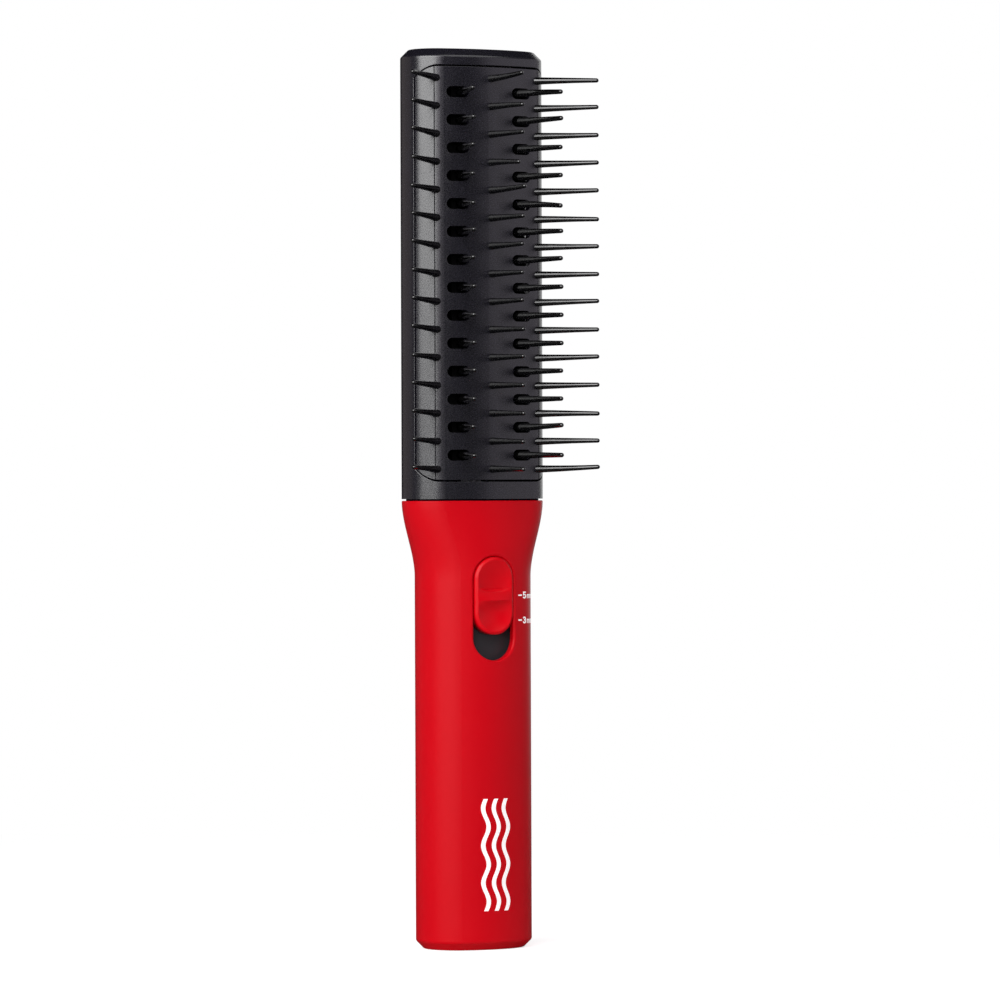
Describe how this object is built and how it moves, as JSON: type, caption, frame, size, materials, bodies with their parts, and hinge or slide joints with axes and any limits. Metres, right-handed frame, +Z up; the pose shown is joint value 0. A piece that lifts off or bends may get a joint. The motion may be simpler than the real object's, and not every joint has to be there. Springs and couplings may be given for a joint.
{
  "type": "adjustable pin styling brush",
  "caption": "Flat oval styling brush with a flared soft-touch handle, fanned rows of pins, and a thumb slider that raises and lowers the rows between the fixed ones.",
  "frame": {"origin": "middle of the flat bottom end of the handle", "axes": "+Z up the brush from handle to head, -Y the way the pins face, +X to the right when the pins face the viewer"},
  "size_m": [0.056, 0.0393, 0.235],
  "materials": {
    "head_plastic": "satin, fine moulded grain",
    "pad_plastic": "satin, fine moulded grain",
    "pin_nylon": "glossy, slightly bendy",
    "soft_touch_red": "soft-touch, broad sheen",
    "button_red": "satin",
    "frame_plastic": "plain moulded",
    "base_plastic": "satin",
    "spring_steel": "rolled strip",
    "screw_steel": "plated",
    "white_ink": "printed"
  },
  "bodies": {
    "root": {"head_shell": "head_plastic", "pin_pad": "pad_plastic", "fixed_pins_left": "pin_nylon", "fixed_pins_centre": "pin_nylon", "fixed_pins_right": "pin_nylon", "inner_frame": "frame_plastic", "handle_sleeve": "soft_touch_red", "pad_screws": "screw_steel", "neck_screws": "screw_steel", "end_screw": "screw_steel", "end_plug": "soft_touch_red", "height_marks": "white_ink", "handle_mark": "white_ink"},
    "slider": {"slider_button": "button_red", "slider_base": "base_plastic", "detent_spring": "spring_steel", "slide_rod": "screw_steel", "rod_screws": "screw_steel", "cam_frame": "frame_plastic"},
    "lifter": {"pin_lifter": "frame_plastic", "moving_pins_left": "pin_nylon", "moving_pins_right": "pin_nylon", "cam_pins": "screw_steel"}
  },
  "joints": [
    {"name": "slider_travel", "type": "slide", "parent": "root", "child": "slider", "axis": [0, 0, -1], "range_m": [0, 0.0066]},
    {"name": "lifter_travel", "type": "slide", "parent": "root", "child": "lifter", "axis": [0, 1, 0], "range_m": [0, 0.002]}
  ],
  "couplings": [
    {"joint": "lifter_travel", "follows": "slider_travel", "ratio": 0.30303}
  ]
}
